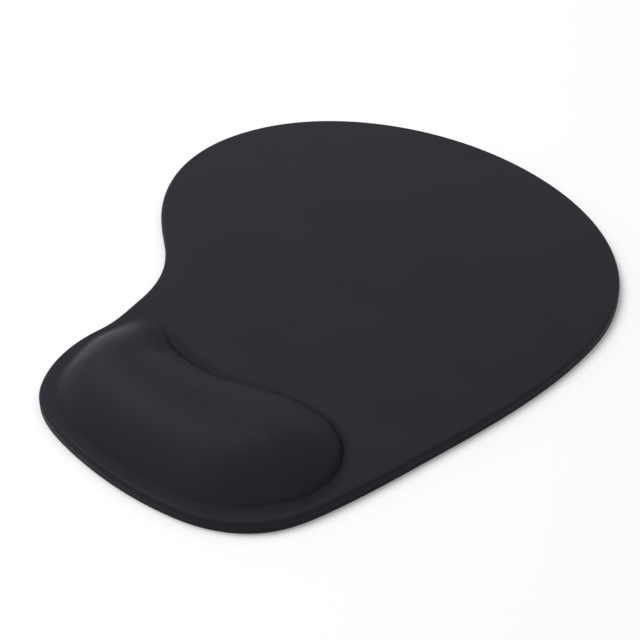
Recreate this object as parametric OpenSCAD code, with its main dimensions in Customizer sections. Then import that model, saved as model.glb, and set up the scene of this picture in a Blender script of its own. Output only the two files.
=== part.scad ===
// Mouse mat with a gel wrist cushion: a laminated mat, cut to a waisted oval, with a kidney-shaped
// gel pouch under its cloth along the near end. Millimetres. X is across, +Y points away from the
// user, Z is up, and the origin is on the desk under the middle of the mat's outline.

/* [Mat] */
// Thickness of the flat mat, from the desk to the top of the cloth
mat_t = 4; // [3.6:0.1:5]
// Radius of the roll that takes the cloth down round the mat's edge
edge_r = 1.6; // [1.2:0.1:2]

/* [Sheets] */
// Thickness of the knitted cloth
cloth_t = 0.6; // [0.4:0.1:0.8]
// Thickness of each hot-melt bond film
bond_t = 0.1; // [0.1:0.05:0.2]
// Thickness of the non-slip base sheet
base_t = 0.9; // [0.6:0.1:1.2]

/* [Wrist cushion] */
// Height of the cushion's crown above the flat mat
crown_h = 13.5; // [10:0.5:18]
// Shape of the cushion's arch: 2 is a plain arch, more is fuller and flatter on top
fullness = 2.2; // [2:0.1:3]
// Thickness of each film of the gel pouch
film_t = 0.2; // [0.15:0.05:0.3]

/* [Smoothness] */
// Points on the outlines, as a multiple of the plain number
detail = 1; // [1:1:2]
// Rings from the cushion's foot to its crown
rings = 12; // [8:1:16]
// Rings over the rolled edge
roll_steps = 4; // [2:1:6]

/* [Hidden] */

// Two outlines, anticlockwise from the left end of the cushion. Each row pairs a place on the
// cushion's foot with the place on the mat's edge that lies across the flat cloth from it:
// foot [x, y, heading], edge [x, y, heading], points up to the next row, rise, flange, crown.
// rise: under 1 the cloth leaves the mat steeply, at 1 at an even slope.
// flange: how far the pouch's welded flange reaches beyond the foot.
// crown: the place along the crown line that this part of the foot rises to, 0 left to 1 right.
PLAN = [
    [[-14.7, -80, 267], [-18, -82.5, 273], 4, 1.35, 1.2, 0],        // left end
    [[-4, -106.5, 304], [-3, -115.5, 317], 5, 1.2, 1.2, 0],         // front left corner
    [[25.5, -120, 1], [26.5, -124.5, -1], 6, 1.15, 1.8, 0.2],       // front
    [[75, -112, 19], [78.5, -116.5, 20], 4, 1.15, 2.4, 0.85],
    [[95, -95.5, 61], [102, -98, 61], 3, 1.3, 3.5, 0.96],           // front right corner
    [[100.5, -78, 92], [107.5, -74.5, 85], 5, 1.15, 3.5, 1],        // right end
    [[91.5, -59, 138], [109, -30, 89], 9, 0.9, 3, 0.96],            // right side of the mat
    [[73.5, -52.8, 181], [101, 53, 106], 12, 0.85, 2.6, 0.84],      // right shoulder
    [[60, -55.2, 199], [-23, 123.5, 187], 12, 0.85, 2.6, 0.7],      // far end
    [[47, -61.6, 212], [-108, 46, 268], 12, 0.85, 4, 0.53],         // left side of the mat
    [[23.5, -68.6, 184], [-61.5, -25, 331], 4, 1, 4.8, 0.25],       // left shoulder
    [[10, -68.5, 176], [-37.5, -41, 316], 3, 1.35, 5, 0.1],
    [[-11, -64.5, 200], [-25, -60, 291], 4, 1.7, 3, 0]              // waist
];
foot_col = 0;
edge_col = 1;
points_col = 2;
rise_col = 3;
flange_col = 4;
crown_col = 5;

// The crown line runs from the left end through the middle to the right end of the cushion.
CROWN_LEFT = [16, -94.5];
CROWN_MID = [44, -95];
CROWN_RIGHT = [77, -82];

// The last ring stops short of the crown line and is closed by a narrow flat cap.
cap_at = 0.9;
// Rings crowd towards the foot, where the cushion turns most.
crowding = 1.6;

bed_z = base_t + bond_t;                  // underside of the foam board
board_z = mat_t - cloth_t - bond_t;       // top of the foam board
pouch_z = board_z - 2 * film_t;           // floor of the pouch's pocket in the board
weld_z = pouch_z + film_t;                // where the two films of the pouch are welded
to_gel = cloth_t + film_t;                // from the cloth's outer face to the gel
to_board = cloth_t + bond_t;              // from the cloth's outer face to the foam board

function direction(h) = [cos(h), sin(h)];

// Handle length that makes an evenly turning stretch a true arc.
function handle(a, b) =
    let (turn = (b[2] - a[2] + 540) % 360 - 180)
    norm([b[0] - a[0], b[1] - a[1]]) / (3 * pow(cos(turn / 4), 2));

// Point at t, 0 to 1, on the cubic curve between two places with headings.
function on_stretch(a, b, t) =
    let (p = [a[0], a[1]], q = [b[0], b[1]], reach = handle(a, b))
    pow(1 - t, 3) * p
    + 3 * pow(1 - t, 2) * t * (p + reach * direction(a[2]))
    + 3 * (1 - t) * t * t * (q - reach * direction(b[2]))
    + pow(t, 3) * q;

function after(list, i) = list[(i + 1) % len(list)];
function before(list, i) = list[(i + len(list) - 1) % len(list)];

// Every point of both outlines, as its row in the plan and its place on the way to the next row.
PLACES = [for (i = [0:len(PLAN) - 1], k = [0:PLAN[i][points_col] * detail - 1])
    [i, k / (PLAN[i][points_col] * detail)]];

function outline(column) =
    [for (p = PLACES) on_stretch(PLAN[p[0]][column], after(PLAN, p[0])[column], p[1])];

// Value of one column of the plan at every point, eased from row to row.
function eased(column) =
    [for (p = PLACES)
        let (ease = p[1] * p[1] * (3 - 2 * p[1]))
        PLAN[p[0]][column] * (1 - ease) + after(PLAN, p[0])[column] * ease];

function outward(points, i) =
    let (run = after(points, i) - before(points, i))
    [run[1], -run[0]] / norm(run);

function inset(points, d) = [for (i = [0:len(points) - 1]) points[i] - d * outward(points, i)];

function middle(values) = (min(values) + max(values)) / 2;

drawn_edge = outline(edge_col);
centre = [middle([for (p = drawn_edge) p[0]]), middle([for (p = drawn_edge) p[1]])];
mat_edge = [for (p = drawn_edge) p - centre];
foot_edge = [for (p = outline(foot_col)) p - centre];
rise = eased(rise_col);
flange_w = eased(flange_col);
crown_s = eased(crown_col);
flange_edge = [for (i = [0:len(foot_edge) - 1])
    foot_edge[i] + flange_w[i] * outward(foot_edge, i)];
hub = CROWN_MID - centre;

// Point at s, 0 to 1, on the quadratic curve through the three crown points.
function on_crown(s) =
    let (bend = 2 * CROWN_MID - (CROWN_LEFT + CROWN_RIGHT) / 2)
    pow(1 - s, 2) * CROWN_LEFT + 2 * (1 - s) * s * bend + s * s * CROWN_RIGHT - centre;

crown_line = [for (s = crown_s) on_crown(s)];

function arch(u) = 1 - pow(1 - u, fullness);
function at_height(points, z) = [for (p = points) [p[0], p[1], z]];
function reversed(list) = [for (i = [len(list) - 1:-1:0]) list[i]];

// Foot of the cushion's form, t under the cloth's outer face.
function foot_under(t) =
    [for (i = [0:len(foot_edge) - 1])
        let (run = crown_line[i] - foot_edge[i])
        foot_edge[i] + run * t / norm(run)];

// Rings of the cushion's form, t under the cloth's outer face, from its foot to its cap.
function cushion_rings(t) =
    let (foot = foot_under(t))
    [for (k = [0:rings])
        let (u = cap_at * pow(k / rings, crowding))
        [for (i = [0:len(foot) - 1])
            let (p = foot[i] + (crown_line[i] - foot[i]) * u)
            [p[0], p[1], mat_t - t + crown_h * pow(arch(u) / arch(cap_at), rise[i])]]];

// Rings of the mat's rolled edge, t under the cloth's outer face, from the bed to the flat.
function roll_rings(t) =
    let (roll = edge_r - t)
    concat(
        [at_height(inset(mat_edge, t), bed_z)],
        [for (k = [0:roll_steps])
            let (q = 90 * k / roll_steps)
            at_height(inset(mat_edge, edge_r - roll * cos(q)), mat_t - edge_r + roll * sin(q))]);

// Closed solid through rings of equally many points. The first ring is a floor and the last a lid,
// each closed by a fan about the hub, unless the rings join up in a loop.
module loft(stack, looped = false) {
    n = len(stack[0]);
    last = len(stack) - 1;
    sides = [for (k = [0:looped ? last : last - 1], i = [0:n - 1], half = [0, 1])
        let (up = ((k + 1) % len(stack)) * n, j = (i + 1) % n)
        half == 0 ? [k * n + i, up + i, up + j] : [k * n + i, up + j, k * n + j]];
    hubs = [[hub[0], hub[1], stack[0][0][2]], [hub[0], hub[1], stack[last][0][2]]];
    floor_hub = len(stack) * n;
    floor_fan = [for (i = [0:n - 1]) [floor_hub, i, (i + 1) % n]];
    lid_fan = [for (i = [0:n - 1]) [floor_hub + 1, last * n + (i + 1) % n, last * n + i]];
    points = [for (ring = stack, p = ring) p];
    if (looped) polyhedron(points = points, faces = sides);
    else polyhedron(points = concat(points, hubs), faces = concat(sides, floor_fan, lid_fan));
}

module sheet(points, floor_z, thickness) {
    translate([0, 0, floor_z]) linear_extrude(thickness) polygon(points);
}

// Stretch jersey, one piece: flat over the mat, domed over the pouch, rolled down round the edge.
module fabric_cover() {
    color([0.06, 0.06, 0.07]) loft(concat(
        reversed(cushion_rings(cloth_t)),
        reversed(roll_rings(cloth_t)),
        roll_rings(0),
        cushion_rings(0)));
}

// Hot-melt web under the flat and the roll of the cloth, cut out over the cushion.
module cover_bond_film() {
    color([0.85, 0.83, 0.75]) loft(concat(
        [at_height(foot_under(cloth_t), board_z)],
        reversed(roll_rings(to_board)),
        roll_rings(cloth_t),
        [at_height(foot_under(cloth_t), mat_t - cloth_t)]), looped = true);
}

// Soft gel that fills the pouch.
module gel_core() {
    color([0.55, 0.75, 0.85]) loft(concat(
        [at_height(foot_under(to_gel), weld_z)],
        cushion_rings(to_gel)));
}

// Upper film of the pouch: vacuum formed over the gel, with the upper half of the welded flange.
module pouch_top_film() {
    color([0.75, 0.82, 0.88]) loft(concat(
        reversed(cushion_rings(to_gel)),
        [at_height(foot_under(to_gel), weld_z)],
        [at_height(flange_edge, weld_z)],
        [at_height(flange_edge, board_z)],
        [at_height(foot_under(cloth_t), board_z)],
        cushion_rings(cloth_t)));
}

// Lower film of the pouch: flat, and welded to the upper film round the flange.
module pouch_bottom_film() {
    color([0.68, 0.76, 0.84]) sheet(flange_edge, pouch_z, film_t);
}

// Foam board that gives the mat its body, with a shallow pocket pressed in for the pouch's flange.
module foam_board() {
    color([0.2, 0.2, 0.22]) loft(concat(
        [at_height(flange_edge, bed_z)],
        roll_rings(to_board),
        [at_height(flange_edge, board_z)],
        [at_height(flange_edge, pouch_z)]));
}

// Hot-melt web between the foam board and the base.
module base_bond_film() {
    color([0.82, 0.8, 0.72]) sheet(mat_edge, base_t, bond_t);
}

// Non-slip base sheet, flush with the cloth's lower edge.
module nonslip_base() {
    color([0.1, 0.1, 0.1]) sheet(mat_edge, 0, base_t);
}

fabric_cover();
cover_bond_film();
gel_core();
pouch_top_film();
pouch_bottom_film();
foam_board();
base_bond_film();
nonslip_base();
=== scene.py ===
import bpy
import numpy as np
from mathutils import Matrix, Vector
from mathutils.geometry import delaunay_2d_cdt


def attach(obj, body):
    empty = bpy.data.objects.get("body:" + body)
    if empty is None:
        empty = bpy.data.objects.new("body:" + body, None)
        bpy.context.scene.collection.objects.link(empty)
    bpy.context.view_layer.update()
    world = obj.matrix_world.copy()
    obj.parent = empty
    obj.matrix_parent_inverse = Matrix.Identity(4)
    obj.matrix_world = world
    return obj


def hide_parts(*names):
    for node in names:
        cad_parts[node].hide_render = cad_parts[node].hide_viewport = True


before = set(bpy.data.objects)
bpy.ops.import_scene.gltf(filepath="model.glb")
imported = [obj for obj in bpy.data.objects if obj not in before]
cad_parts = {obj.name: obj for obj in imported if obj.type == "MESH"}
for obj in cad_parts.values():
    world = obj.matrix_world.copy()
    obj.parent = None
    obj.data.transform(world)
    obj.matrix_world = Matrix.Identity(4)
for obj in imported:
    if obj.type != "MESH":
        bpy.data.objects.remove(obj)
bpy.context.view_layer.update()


# ---------------------------------------------------------------------------------------------
# Non-slip base: a 0.9 mm sheet of natural rubber, die cut to the mat's outline. Its underside is
# calendered with small hexagonal cups that grip a desk, and a plain border is left at the cut.
# ---------------------------------------------------------------------------------------------

MM = 0.001
BASE_T = 0.9
CUP_PITCH = 3.2
CUP_SIZE = 1.25          # from a cup's middle to its corner, at the mouth
CUP_FLOOR = 0.95         # the same at its floor
CUP_DEPTH = 0.25
CUP_COLUMNS = np.arange(-40, 41)
CUP_ROWS = np.arange(-50, 51)
BORDER = 2.6             # plain strip along the cut

# Two closed lines, anticlockwise from the left end of the wrist cushion: the cushion's foot and
# the mat's edge, paired across the cloth. Each place is x, y and heading in degrees. The edge's
# places weren't chosen by hand: they are the rounded results of a least-squares fit by a program.
FOOT_PLACES = np.array([
    (-14.7, -80, 267), (-4, -106.5, 304), (25.5, -120, 1), (75, -112, 19), (95, -95.5, 61),
    (100.5, -78, 92), (91.5, -59, 138), (73.5, -52.8, 181), (60, -55.2, 199), (47, -61.6, 212),
    (23.5, -68.6, 184), (10, -68.5, 176), (-11, -64.5, 200)], float)
EDGE_PLACES = np.array([
    (-18, -82.5, 273), (-3, -115.5, 317), (26.5, -124.5, -1), (78.5, -116.5, 20), (102, -98, 61),
    (107.5, -74.5, 85), (109, -30, 89), (101, 53, 106), (-23, 123.5, 187), (-108, 46, 268),
    (-61.5, -25, 331), (-37.5, -41, 316), (-25, -60, 291)], float)
FINENESS = 6             # times as many points as the plain model has
STRETCH_POINTS = FINENESS * np.array([4, 5, 6, 4, 3, 5, 9, 12, 12, 12, 4, 3, 4])

PLACE = np.repeat(np.arange(len(STRETCH_POINTS)), STRETCH_POINTS)
ALONG = np.concatenate([np.arange(n) / n for n in STRETCH_POINTS])
AROUND = len(PLACE)


def closed_line(places):
    """Points of a closed line. Between one place and the next it is a cubic curve whose handles
    lie on the two headings, each as long as the chord over 3 cos^2 of a quarter of the turn."""
    a, b = places[PLACE], places[(PLACE + 1) % len(places)]
    t = ALONG[:, None]
    turn = np.radians((b[:, 2] - a[:, 2] + 540) % 360 - 180)
    chord = np.linalg.norm(b[:, :2] - a[:, :2], axis=1)
    reach = (chord / (3 * np.cos(turn / 4) ** 2))[:, None]

    def heading(p):
        return np.c_[np.cos(np.radians(p[:, 2])), np.sin(np.radians(p[:, 2]))]

    return ((1 - t) ** 3 * a[:, :2]
            + 3 * (1 - t) ** 2 * t * (a[:, :2] + reach * heading(a))
            + 3 * (1 - t) * t ** 2 * (b[:, :2] - reach * heading(b))
            + t ** 3 * b[:, :2])


def eased(values):
    """One value for every point, going from place to place by 3t^2 - 2t^3."""
    values = np.array(values, float)
    ease = ALONG ** 2 * (3 - 2 * ALONG)
    return values[PLACE] * (1 - ease) + values[(PLACE + 1) % len(values)] * ease


def outward(line):
    """Unit normals that point away from the inside of an anticlockwise closed line."""
    run = np.roll(line, -1, 0) - np.roll(line, 1, 0)
    normal = np.c_[run[:, 1], -run[:, 0]]
    return normal / np.linalg.norm(normal, axis=1)[:, None]


drawn_edge = closed_line(EDGE_PLACES)
CENTRE = (drawn_edge.min(0) + drawn_edge.max(0)) / 2
MAT_EDGE = drawn_edge - CENTRE
FOOT = closed_line(FOOT_PLACES) - CENTRE


def at_height(line, z):
    """The line's points with the height z, one number or one for each point."""
    return np.c_[line, np.broadcast_to(z, len(line))]


def inset(line, d):
    return line - d * outward(line)


def inside(points, line):
    """Which points lie in a closed line: those with an odd number of its sides to their right."""
    a, b = line, np.roll(line, -1, 0)
    x, y = points[:, 0, None], points[:, 1, None]
    spans = (a[:, 1] > y) != (b[:, 1] > y)
    rise = np.where(b[:, 1] == a[:, 1], 1, b[:, 1] - a[:, 1])
    meets = a[:, 0] + (y - a[:, 1]) * (b[:, 0] - a[:, 0]) / rise
    return (spans & (meets > x)).sum(1) % 2 == 1


def piece(name, points, faces, smooth=True):
    """A mesh object at the origin from points in millimetres and lists of corners."""
    mesh = bpy.data.meshes.new(name)
    mesh.from_pydata((np.asarray(points) * MM).tolist(), [], faces)
    mesh.polygons.foreach_set("use_smooth", np.full(len(mesh.polygons), smooth))
    mesh.update()
    made = bpy.data.objects.new(name, mesh)
    bpy.context.scene.collection.objects.link(made)
    return made


def grid_faces(rings, across, looped=False):
    """Quads between neighbouring rings of equally many points, as an array of corners."""
    k = np.arange(rings if looped else rings - 1)[:, None]
    i = np.arange(across)[None, :]
    j = (i + 1) % across
    low, high = k * across, (k + 1) % rings * across
    return np.stack([low + i, low + j, high + j, high + i], -1).reshape(-1, 4)


def cupped_sheet():
    """The base sheet. Its underside is the outline less a honeycomb of hexagons, in triangles;
    each hexagon goes in as a ring of sloping walls to a smaller flat hexagon."""
    step_y = CUP_PITCH * np.sqrt(3) / 2
    grid_x, grid_y = np.meshgrid(CUP_COLUMNS * CUP_PITCH, CUP_ROWS * step_y)
    grid_x = grid_x + (CUP_ROWS % 2)[:, None] * CUP_PITCH / 2
    middles = np.c_[grid_x.ravel(), grid_y.ravel()]
    middles = middles[inside(middles, inset(MAT_EDGE, BORDER))]
    turn = np.radians(np.arange(6) * 60 + 30)
    corner = np.c_[np.cos(turn), np.sin(turn)]
    mouth = middles[:, None] + CUP_SIZE * corner
    floor = middles[:, None] + CUP_FLOOR * corner
    cups = len(middles)

    flat = np.concatenate([MAT_EDGE, mouth.reshape(-1, 2)])
    ring = np.arange(AROUND)
    cell = AROUND + np.arange(cups * 6).reshape(cups, 6)
    edges = np.concatenate([
        np.c_[ring, np.roll(ring, -1)],
        np.stack([cell, np.roll(cell, -1, 1)], -1).reshape(-1, 2)])
    made = delaunay_2d_cdt(flat.tolist(), edges.tolist(), [], 1, 1e-6, True)
    first_of = np.array([first[0] for first in made[3]])
    skin = first_of[np.array(made[2])]
    owner = np.where(skin < AROUND, -1 - skin, (skin - AROUND) // 6)
    in_cup = (owner[:, 0] == owner[:, 1]) & (owner[:, 1] == owner[:, 2])
    beyond = (skin < AROUND).all(1)
    beyond[beyond] = ~inside(flat[skin[beyond]].mean(1), MAT_EDGE)
    skin = skin[~in_cup & ~beyond][:, ::-1]

    floor_cell = cell + cups * 6
    wall = np.stack([cell, floor_cell, np.roll(floor_cell, -1, 1), np.roll(cell, -1, 1)], -1)
    top = AROUND + cups * 12 + ring
    side = np.stack([ring, np.roll(ring, -1), np.roll(top, -1), top], -1)
    points = np.concatenate([
        np.c_[flat, np.zeros(len(flat))],
        np.c_[floor.reshape(-1, 2), np.full(cups * 6, CUP_DEPTH)],
        at_height(MAT_EDGE, BASE_T)])
    faces = (skin.tolist() + wall.reshape(-1, 4).tolist() + floor_cell[:, ::-1].tolist()
             + side.tolist() + [top.tolist()])
    return piece("grip_base", points, faces, smooth=False)


def linear(hex_colour):
    """Linear red, green, blue and alpha of an sRGB hex colour."""
    srgb = np.array([int(hex_colour[i:i + 2], 16) for i in (1, 3, 5)]) / 255
    low = srgb / 12.92
    return (*np.where(srgb <= 0.04045, low, ((srgb + 0.055) / 1.055) ** 2.4).tolist(), 1.0)


def finish_of(name):
    """A new material with an empty tree, its Principled shader joined to the output."""
    made = bpy.data.materials.new(name)
    made.use_nodes = True
    made.node_tree.nodes.clear()
    out = made.node_tree.nodes.new("ShaderNodeOutputMaterial")
    shader = made.node_tree.nodes.new("ShaderNodeBsdfPrincipled")
    made.node_tree.links.new(shader.outputs[0], out.inputs[0])
    return made, shader


def add(material, kind, settings=None, **sockets):
    """Adds a node. Settings are its own properties; a socket is named with underscores for
    spaces, or in_0, in_1 for its place, and gets a value, or another node's output."""
    node = material.node_tree.nodes.new("ShaderNode" + kind)
    for key, value in (settings or {}).items():
        setattr(node, key, value)
    join(material, node, **sockets)
    return node


def join(material, node, **sockets):
    """Sets or links a node's sockets, named as for add()."""
    for key, value in sockets.items():
        place = int(key[3:]) if key[:3] == "in_" else key.replace("_", " ")
        if isinstance(value, bpy.types.NodeSocket):
            material.node_tree.links.new(value, node.inputs[place])
        else:
            node.inputs[place].default_value = value


def natural_rubber():
    """Calendered natural rubber: nearly black, matt, with a fine grain and a faint chalky bloom."""
    rubber, shader = finish_of("natural_rubber_calendered")
    place = add(rubber, "TexCoord").outputs["Object"]
    bloom = add(rubber, "TexNoise", Vector=place, Scale=1 / (9 * MM), Detail=4.0)
    tone = add(rubber, "MixRGB", Fac=bloom.outputs[0], Color1=linear("#17181A"),
               Color2=linear("#232427"))
    grain = add(rubber, "TexNoise", Vector=place, Scale=1 / (0.35 * MM), Detail=3.0)
    relief = add(rubber, "Bump", Height=grain.outputs[0], Strength=0.5, Distance=0.04 * MM)
    dull = add(rubber, "MapRange", Value=bloom.outputs[0], To_Min=0.62, To_Max=0.78)
    join(rubber, shader, Base_Color=tone.outputs[0], Roughness=dull.outputs[0],
         Normal=relief.outputs[0], Specular_IOR_Level=0.25)
    return rubber


grip_base = cupped_sheet()
grip_base.data.materials.append(natural_rubber())
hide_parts("nonslip_base")
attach(grip_base, "root")


# ---------------------------------------------------------------------------------------------
# Lower bond: a hot-melt web that glues the base to the foam. It melts back a little from the
# cut, so that no glue shows at the edge.
# ---------------------------------------------------------------------------------------------

BOND_T = 0.1
MELT_BACK = 0.4
BED_Z = BASE_T + BOND_T


def lofted(name, rings, looped=False):
    """A closed piece through rings of equally many points, from its underside up: quads between
    them, and a flat face on the first and the last unless they join up in a loop."""
    faces = grid_faces(len(rings), AROUND, looped).tolist()
    if not looped:
        first, last = np.arange(AROUND), (len(rings) - 1) * AROUND + np.arange(AROUND)
        faces += [first[::-1].tolist(), last.tolist()]
    return piece(name, np.concatenate(rings), faces)


def hot_melt(name):
    """Hot-melt web after pressing: a thin milky film, slightly uneven, with a waxy gloss."""
    film, shader = finish_of(name)
    place = add(film, "TexCoord").outputs["Object"]
    web = add(film, "TexVoronoi", {"feature": "DISTANCE_TO_EDGE"}, Vector=place,
              Scale=1 / (1.5 * MM))
    strands = add(film, "MapRange", Value=web.outputs[0], From_Max=0.12, To_Min=1.0, To_Max=0.0)
    tone = add(film, "MixRGB", Fac=strands.outputs[0], Color1=linear("#C9C6B8"),
               Color2=linear("#DDDACD"))
    relief = add(film, "Bump", Height=strands.outputs[0], Strength=0.4, Distance=0.05 * MM)
    join(film, shader, Base_Color=tone.outputs[0], Normal=relief.outputs[0], Roughness=0.45,
         Subsurface_Weight=0.3, Subsurface_Radius=(0.4 * MM, 0.4 * MM, 0.3 * MM))
    return film


melted_edge = inset(MAT_EDGE, MELT_BACK)
base_bond = lofted("base_bond_web", [at_height(melted_edge, BASE_T), at_height(melted_edge, BED_Z)])
base_bond.data.materials.append(hot_melt("hot_melt_web_lower"))
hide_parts("base_bond_film")
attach(base_bond, "root")


# ---------------------------------------------------------------------------------------------
# Foam sheet: 2.3 mm of black closed-cell foam that gives the mat its body. Its edge is pressed
# round with the cloth, and a shallow pocket in its top takes the flat of the pouch.
# ---------------------------------------------------------------------------------------------

MAT_T = 4.0
EDGE_R = 1.6
CLOTH_T = 0.6
FILM_T = 0.2
BOARD_Z = MAT_T - CLOTH_T - BOND_T
POUCH_Z = BOARD_Z - 2 * FILM_T
WELD_Z = POUCH_Z + FILM_T
TO_BOARD = CLOTH_T + BOND_T
ROLL_STEPS = 8
FLANGE_W = eased([1.2, 1.2, 1.8, 2.4, 3.5, 3.5, 3, 2.6, 2.6, 4, 4.8, 5, 3])   # for each place
FLANGE = FOOT + FLANGE_W[:, None] * outward(FOOT)


def edge_roll(depth, steps):
    """Rings over the mat's rolled edge, depth under the cloth's outer face: straight up from the
    bed, then a quarter circle of the edge radius less the depth, inwards to the flat."""
    radius = EDGE_R - depth
    turn = np.linspace(0, np.pi / 2, steps + 1)
    return [at_height(inset(MAT_EDGE, depth), BED_Z)] + [
        at_height(inset(MAT_EDGE, EDGE_R - radius * np.cos(q)), MAT_T - EDGE_R + radius * np.sin(q))
        for q in turn]


def closed_cell_foam():
    """Cross-linked closed-cell foam: charcoal, matt, with the fine pits of cells cut open, in
    relief and darkened towards their middles with painted shade.
    """
    foam, shader = finish_of("closed_cell_foam")
    place = add(foam, "TexCoord").outputs["Object"]
    cells = add(foam, "TexVoronoi", Vector=place, Scale=1 / (0.45 * MM))
    pit_relief_and_shade = add(foam, "MapRange", Value=cells.outputs[0], From_Max=0.7)
    # Painted shade: each pit is darker towards its middle.
    tone = add(foam, "MixRGB", Fac=pit_relief_and_shade.outputs[0], Color1=linear("#1C1D1F"),
               Color2=linear("#34353A"))
    relief = add(foam, "Bump", Height=pit_relief_and_shade.outputs[0], Strength=0.8, Distance=0.12 * MM)
    join(foam, shader, Base_Color=tone.outputs[0], Normal=relief.outputs[0], Roughness=0.85,
         Specular_IOR_Level=0.2)
    return foam


foam_sheet = lofted("foam_sheet", [
    at_height(FLANGE, BED_Z), *edge_roll(TO_BOARD, ROLL_STEPS), at_height(FLANGE, BOARD_Z),
    at_height(FLANGE, POUCH_Z)])
foam_sheet.data.materials.append(closed_cell_foam())
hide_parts("foam_board")
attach(foam_sheet, "root")


# ---------------------------------------------------------------------------------------------
# Gel pouch: a flat lower film, the soft gel, and an upper film that was vacuum formed over it.
# The two films are welded together in a flange round the foot of the cushion.
# ---------------------------------------------------------------------------------------------

CROWN_H = 13.5
FULLNESS = 2.2
RISE = eased([1.35, 1.2, 1.15, 1.15, 1.3, 1.15, 0.9, 0.85, 0.85, 0.85, 1.0, 1.35, 1.7])
CROWN_AT = eased([0, 0, 0.2, 0.85, 0.96, 1, 0.96, 0.84, 0.7, 0.53, 0.25, 0.1, 0])[:, None]
CROWN_LEFT, CROWN_MID, CROWN_RIGHT = np.array([(16, -94.5), (44, -95), (77, -82)]) - CENTRE
TO_GEL = CLOTH_T + FILM_T
LAST_RING = 0.97         # share of the way to the crown line; a flat face closes the rest
CROWDING = 1.6           # how closely the rings stand near the foot
POUCH_STEPS = 28

crown_bend = 2 * CROWN_MID - (CROWN_LEFT + CROWN_RIGHT) / 2
CROWN = ((1 - CROWN_AT) ** 2 * CROWN_LEFT + 2 * (1 - CROWN_AT) * CROWN_AT * crown_bend
         + CROWN_AT ** 2 * CROWN_RIGHT)
to_crown = CROWN - FOOT
INWARD = to_crown / np.linalg.norm(to_crown, axis=1)[:, None]


def foot_under(depth):
    """The cushion's foot in the surface that lies depth under the cloth's outer face."""
    return FOOT + depth * INWARD


def cushion(depth, steps):
    """Rings of the cushion, depth under the cloth's outer face. Each point goes straight from the
    foot, u = 0, to its place on the crown line, u = 1, and rises by the crown's height times
    1 - (1 - u)^fullness, to the power of the rise of its part of the foot."""
    foot = foot_under(depth)
    return [at_height(foot + (CROWN - foot) * u,
                      MAT_T - depth + CROWN_H * (1 - (1 - u) ** FULLNESS) ** RISE)
            for u in LAST_RING * np.linspace(0, 1, steps + 1) ** CROWDING]


def formed_film():
    """Thermoplastic polyurethane film: clear, soft gloss, faintly blue where it is thick."""
    film, shader = finish_of("polyurethane_film")
    place = add(film, "TexCoord").outputs["Object"]
    draw = add(film, "TexNoise", Vector=place, Scale=1 / (14 * MM), Detail=2.0)
    gloss = add(film, "MapRange", Value=draw.outputs[0], To_Min=0.12, To_Max=0.26)
    relief = add(film, "Bump", Height=draw.outputs[0], Strength=0.15, Distance=0.3 * MM)
    join(film, shader, Base_Color=linear("#DCE8F0"), Roughness=gloss.outputs[0],
         Normal=relief.outputs[0], Transmission_Weight=0.85, IOR=1.5)
    return film


def soft_gel():
    """Polyurethane gel: clear and blue tinted, with a few trapped bubbles that break its gloss."""
    gel, shader = finish_of("polyurethane_gel")
    place = add(gel, "TexCoord").outputs["Object"]
    bubbles = add(gel, "TexVoronoi", Vector=place, Scale=1 / (4 * MM), Randomness=1.0)
    bubble = add(gel, "MapRange", Value=bubbles.outputs[0], From_Max=0.16, To_Min=1.0, To_Max=0.0)
    tone = add(gel, "MixRGB", Fac=bubble.outputs[0], Color1=linear("#8FC3E4"),
               Color2=linear("#D6ECF7"))
    relief = add(gel, "Bump", Height=bubble.outputs[0], Strength=0.3, Distance=0.2 * MM)
    join(gel, shader, Base_Color=tone.outputs[0], Normal=relief.outputs[0], Roughness=0.08,
         Transmission_Weight=0.7, IOR=1.48, Subsurface_Weight=0.2,
         Subsurface_Radius=(2 * MM, 3 * MM, 4 * MM))
    return gel


film_material = formed_film()
pouch_bottom = lofted("pouch_bottom_skin", [at_height(FLANGE, POUCH_Z), at_height(FLANGE, WELD_Z)])
pouch_bottom.data.materials.append(film_material)
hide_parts("pouch_bottom_film")
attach(pouch_bottom, "root")

gel_filling = lofted("gel_filling", [
    at_height(foot_under(TO_GEL), WELD_Z), *cushion(TO_GEL, POUCH_STEPS)])
gel_filling.data.materials.append(soft_gel())
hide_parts("gel_core")
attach(gel_filling, "root")

pouch_top = lofted("pouch_top_skin", [
    *cushion(TO_GEL, POUCH_STEPS)[::-1], at_height(foot_under(TO_GEL), WELD_Z),
    at_height(FLANGE, WELD_Z), at_height(FLANGE, BOARD_Z),
    at_height(foot_under(CLOTH_T), BOARD_Z), *cushion(CLOTH_T, POUCH_STEPS)])
pouch_top.data.materials.append(film_material)
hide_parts("pouch_top_film")
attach(pouch_top, "root")


# ---------------------------------------------------------------------------------------------
# Upper bond: the same hot-melt web between foam and cloth, with a hole where the cushion stands.
# ---------------------------------------------------------------------------------------------

cover_bond = lofted("cover_bond_web", [
    at_height(foot_under(CLOTH_T), BOARD_Z), *edge_roll(TO_BOARD, ROLL_STEPS)[::-1],
    *edge_roll(CLOTH_T, ROLL_STEPS), at_height(foot_under(CLOTH_T), MAT_T - CLOTH_T)], looped=True)
cover_bond.data.materials.append(hot_melt("hot_melt_web_upper"))
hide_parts("cover_bond_film")
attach(cover_bond, "root")


# ---------------------------------------------------------------------------------------------
# Cloth cover: one piece of fine stretch jersey, heat pressed over foam and pouch and rolled down
# round the edge. The press nips it in a crease along the cushion's foot, and lays it in a shallow
# channel over the pouch's flange beside the crease.
# ---------------------------------------------------------------------------------------------

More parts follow.
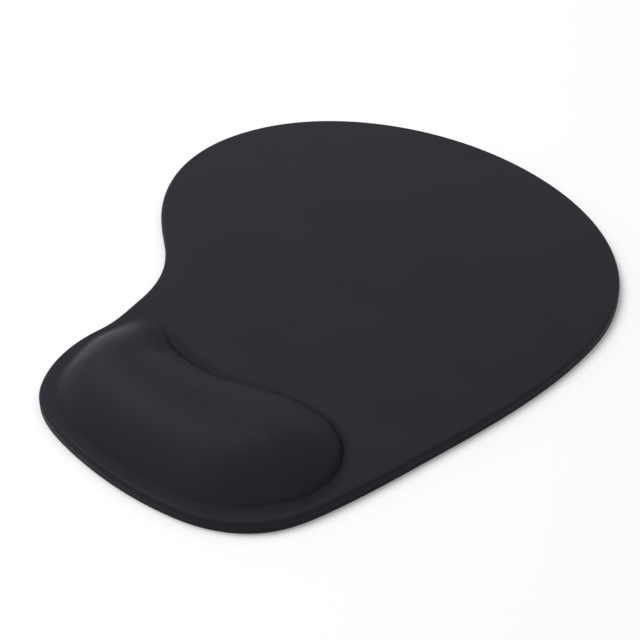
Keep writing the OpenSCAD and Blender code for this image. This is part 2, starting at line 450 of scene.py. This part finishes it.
CREASE_DEPTH = eased([0, 0, 0.03, 0.03, 0.02, 0.05, 0.18, 0.22, 0.2, 0.15, 0.27, 0.27, 0])
CREASE_WIDTH = 1.2
CREASE_PAINTED_SHADE = 3         # painted shade: share of the darkest tone for each millimetre of the crease's depth
CHANNEL_DEPTH = eased([0, 0, 0, 0.05, 0.12, 0.15, 0.15, 0.15, 0.15, 0.15, 0.18, 0.15, 0])
CHANNEL_SHOULDER = 1.4
# painted shade: share of the darkest tone for each millimetre of the channel's depth
CHANNEL_PAINTED_SHADE = 2
CLEAR_OF_ROLL = 0.05
# Where the rings over the marked strip lie, from its outer end to the foot
STRIP_SHARES = (1, 0.95, 0.9, 0.85, 0.8, 0.74, 0.66, 0.56, 0.46, 0.37, 0.29, 0.22, 0.16, 0.1, 0.05)
UNDERSIDE_STEPS = 20
UNDERSIDE_ROLL_STEPS = 6
FACE_STEPS = 52
FACE_ROLL_STEPS = 10
WALE = 0.8               # one wave across the cloth, which makes two ribs of stitches
COURSE = 0.7             # from one row of stitches to the next, along it

nearest = np.linalg.norm(FOOT[:, None] - MAT_EDGE[None], axis=2).min(1)
MARKED_W = np.minimum(FLANGE_W + CHANNEL_SHOULDER / 2, nearest - EDGE_R - CLEAR_OF_ROLL)


def press_marks(from_foot):
    """Depths of the crease and of the channel, at a distance outside the foot, or inside it where
    negative: the crease is a bell curve, and the channel is level to the flange's edge, then eased
    up over its shoulder; on the cushion it fades as a bell curve too."""
    bell = np.exp(-(from_foot / CREASE_WIDTH) ** 2)
    up = np.clip((from_foot - FLANGE_W) / CHANNEL_SHOULDER + 0.5, 0, 1)
    level = np.where(from_foot > 0, 1 - up ** 2 * (3 - 2 * up), bell)
    return CREASE_DEPTH * bell, CHANNEL_DEPTH * level


unmarked = [*cushion(CLOTH_T, UNDERSIDE_STEPS)[::-1],
            *edge_roll(CLOTH_T, UNDERSIDE_ROLL_STEPS)[::-1], *edge_roll(0, FACE_ROLL_STEPS)]
strip = [share * MARKED_W for share in STRIP_SHARES]
form = cushion(0, FACE_STEPS)
offsets = strip + [-np.linalg.norm(ring[:, :2] - FOOT, axis=1) for ring in form]
laid = [at_height(FOOT + d[:, None] * outward(FOOT), MAT_T) for d in strip] + form
marks = [press_marks(d) for d in offsets]
top_face = [ring - [0, 0, 1] * (crease + channel)[:, None]
            for ring, (crease, channel) in zip(laid, marks)]
cloth_cover = lofted("cloth_cover", unmarked + top_face)


def stretch_jersey():
    """Brushed polyester jersey, dyed black: matt, a little blue, with fine ribs of stitches, and
    painted shade in the crease and the channel along the cushion's foot, darker where they are
    deeper."""
    jersey, shader = finish_of("polyester_jersey_black")
    place = add(jersey, "TexCoord").outputs["Object"]
    axes = add(jersey, "SeparateXYZ", Vector=place)
    wale = add(jersey, "Math", {"operation": "MULTIPLY"}, in_0=axes.outputs[0],
               in_1=2 * np.pi / (WALE * MM))
    ribs = add(jersey, "Math", {"operation": "SINE"}, in_0=wale.outputs[0])
    lean = add(jersey, "Math", {"operation": "ABSOLUTE"}, in_0=ribs.outputs[0])
    course = add(jersey, "Math", {"operation": "MULTIPLY_ADD"}, in_0=axes.outputs[1],
                 in_1=2 * np.pi / (COURSE * MM), in_2=lean.outputs[0])
    loops = add(jersey, "Math", {"operation": "SINE"}, in_0=course.outputs[0])
    knit = add(jersey, "Math", {"operation": "MULTIPLY_ADD"}, in_0=lean.outputs[0], in_1=0.6,
               in_2=loops.outputs[0])
    fuzz = add(jersey, "TexNoise", Vector=place, Scale=1 / (0.5 * MM), Detail=4.0)
    nap = add(jersey, "Math", {"operation": "MULTIPLY_ADD"}, in_0=fuzz.outputs[0], in_1=1.6,
              in_2=knit.outputs[0])
    relief = add(jersey, "Bump", Height=nap.outputs[0], Strength=0.2, Distance=0.02 * MM)
    wear = add(jersey, "TexNoise", Vector=place, Scale=1 / (26 * MM), Detail=3.0)
    tone = add(jersey, "MixRGB", Fac=wear.outputs[0], Color1=linear("#1D1F24"),
               Color2=linear("#22242B"))
    # Painted shade: the tone is mixed towards near black in the crease and the channel, by the
    # attribute set on the cloth below.
    pressed = add(jersey, "Attribute", {"attribute_name": "pressed"})
    tone_with_painted_shade = add(jersey, "MixRGB", Fac=pressed.outputs["Fac"], Color1=tone.outputs[0],
                    Color2=linear("#07080A"))
    join(jersey, shader, Base_Color=tone_with_painted_shade.outputs[0], Normal=relief.outputs[0], Roughness=0.55,
         Specular_IOR_Level=0.08)
    return jersey


# Painted shade along the crease and the channel, stronger where they are deeper.
painted_shades = [np.zeros(AROUND)] * len(unmarked) + [
    CREASE_PAINTED_SHADE * crease + CHANNEL_PAINTED_SHADE * channel for crease, channel in marks]
cloth_cover.data.attributes.new("pressed", "FLOAT", "POINT").data.foreach_set(
    "value", np.concatenate(painted_shades))
cloth_cover.data.materials.append(stretch_jersey())
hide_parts("fabric_cover")
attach(cloth_cover, "root")


# ---------------------------------------------------------------------------------------------
# Studio: a plain white table, one soft lamp from the left, an even white room, and the camera.
# ---------------------------------------------------------------------------------------------

TABLE_HALF = 3
TABLE_GAP = 0.05         # keeps the table's face off the base's underside
LAMP_PLACE = np.array([-0.81, -0.29, 1.35])
ROOM_LIGHT = 0.645


def aim(thing, place, towards):
    """Puts a lamp or camera at a place with its -Z axis along a direction."""
    thing.location = place
    thing.rotation_mode = "QUATERNION"
    thing.rotation_quaternion = Vector(towards).to_track_quat("-Z", "Y")
    bpy.context.scene.collection.objects.link(thing)


table = bpy.data.objects.new("table", bpy.data.meshes.new("table"))
table.data.from_pydata([(x * TABLE_HALF, y * TABLE_HALF, 0)
                        for x, y in ((-1, -1), (1, -1), (1, 1), (-1, 1))], [], [(0, 1, 2, 3)])
table.location.z = -TABLE_GAP * MM
bpy.context.scene.collection.objects.link(table)
white, white_shader = finish_of("white_laminate")
mottle = add(white, "TexNoise", Vector=add(white, "TexCoord").outputs["Object"], Scale=4.0)
whites = add(white, "MixRGB", Fac=mottle.outputs[0], Color1=linear("#F2F2F2"),
             Color2=linear("#F4F4F4"))
join(white, white_shader, Base_Color=whites.outputs[0], Roughness=0.6)
table.data.materials.append(white)

key = bpy.data.objects.new("key", bpy.data.lights.new("key", "AREA"))
key.data.energy = 17.6
key.data.size = 1.1
aim(key, LAMP_PLACE, -LAMP_PLACE)

room = bpy.data.worlds.new("room")
room.use_nodes = True
room.node_tree.nodes["Background"].inputs[0].default_value = (1, 1, 1, 1)
room.node_tree.nodes["Background"].inputs[1].default_value = ROOM_LIGHT
bpy.context.scene.world = room
bpy.context.scene.view_settings.view_transform = "Standard"

camera = bpy.data.objects.new("camera", bpy.data.cameras.new("camera"))
camera.data.sensor_width = 36
camera.data.lens = 78.75
bearing, dip = np.radians(140.38), np.radians(35)
aim(camera, (0.3524, -0.2852, 0.2981),
    (np.cos(bearing) * np.cos(dip), np.sin(bearing) * np.cos(dip), -np.sin(dip)))
bpy.context.scene.camera = camera
